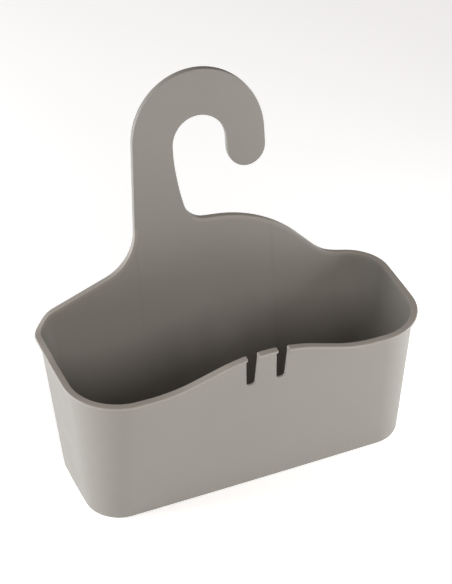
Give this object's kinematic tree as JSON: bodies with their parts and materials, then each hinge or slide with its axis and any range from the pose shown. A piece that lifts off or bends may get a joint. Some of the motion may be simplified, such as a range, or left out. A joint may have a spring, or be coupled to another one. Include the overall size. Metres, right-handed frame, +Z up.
{
  "type": "hanging caddy",
  "caption": "Open rectangular plastic tub with a flared rim, slotted front and a question-mark hook rising from its back wall, for hanging toiletries.",
  "frame": {"origin": "centre of the flat underside of the base", "axes": "+X to the right seen from the front, +Y to the back towards the hook, +Z up; the base stands on the XY plane"},
  "size_m": [0.2704, 0.1425, 0.2718],
  "materials": {
    "body_plastic": "satin moulded warm grey polypropylene, fine matt texture",
    "rim_plastic": "satin moulded warm grey polypropylene, fine matt texture",
    "hook_plastic": "satin moulded warm grey polypropylene, fine matt texture"
  },
  "bodies": {
    "root": {"floor_panel": "body_plastic", "end_wall_left": "body_plastic", "end_wall_right": "body_plastic", "front_wall": "body_plastic", "front_tongue": "body_plastic", "back_wall": "body_plastic", "rear_rib_left": "body_plastic", "rear_rib_right": "body_plastic", "rim_left": "rim_plastic", "rim_right": "rim_plastic", "rim_tongue": "rim_plastic", "crest_edge_left": "rim_plastic", "crest_edge_right": "rim_plastic", "hook_web": "hook_plastic", "hook_edge": "hook_plastic"}
  },
  "joints": []
}
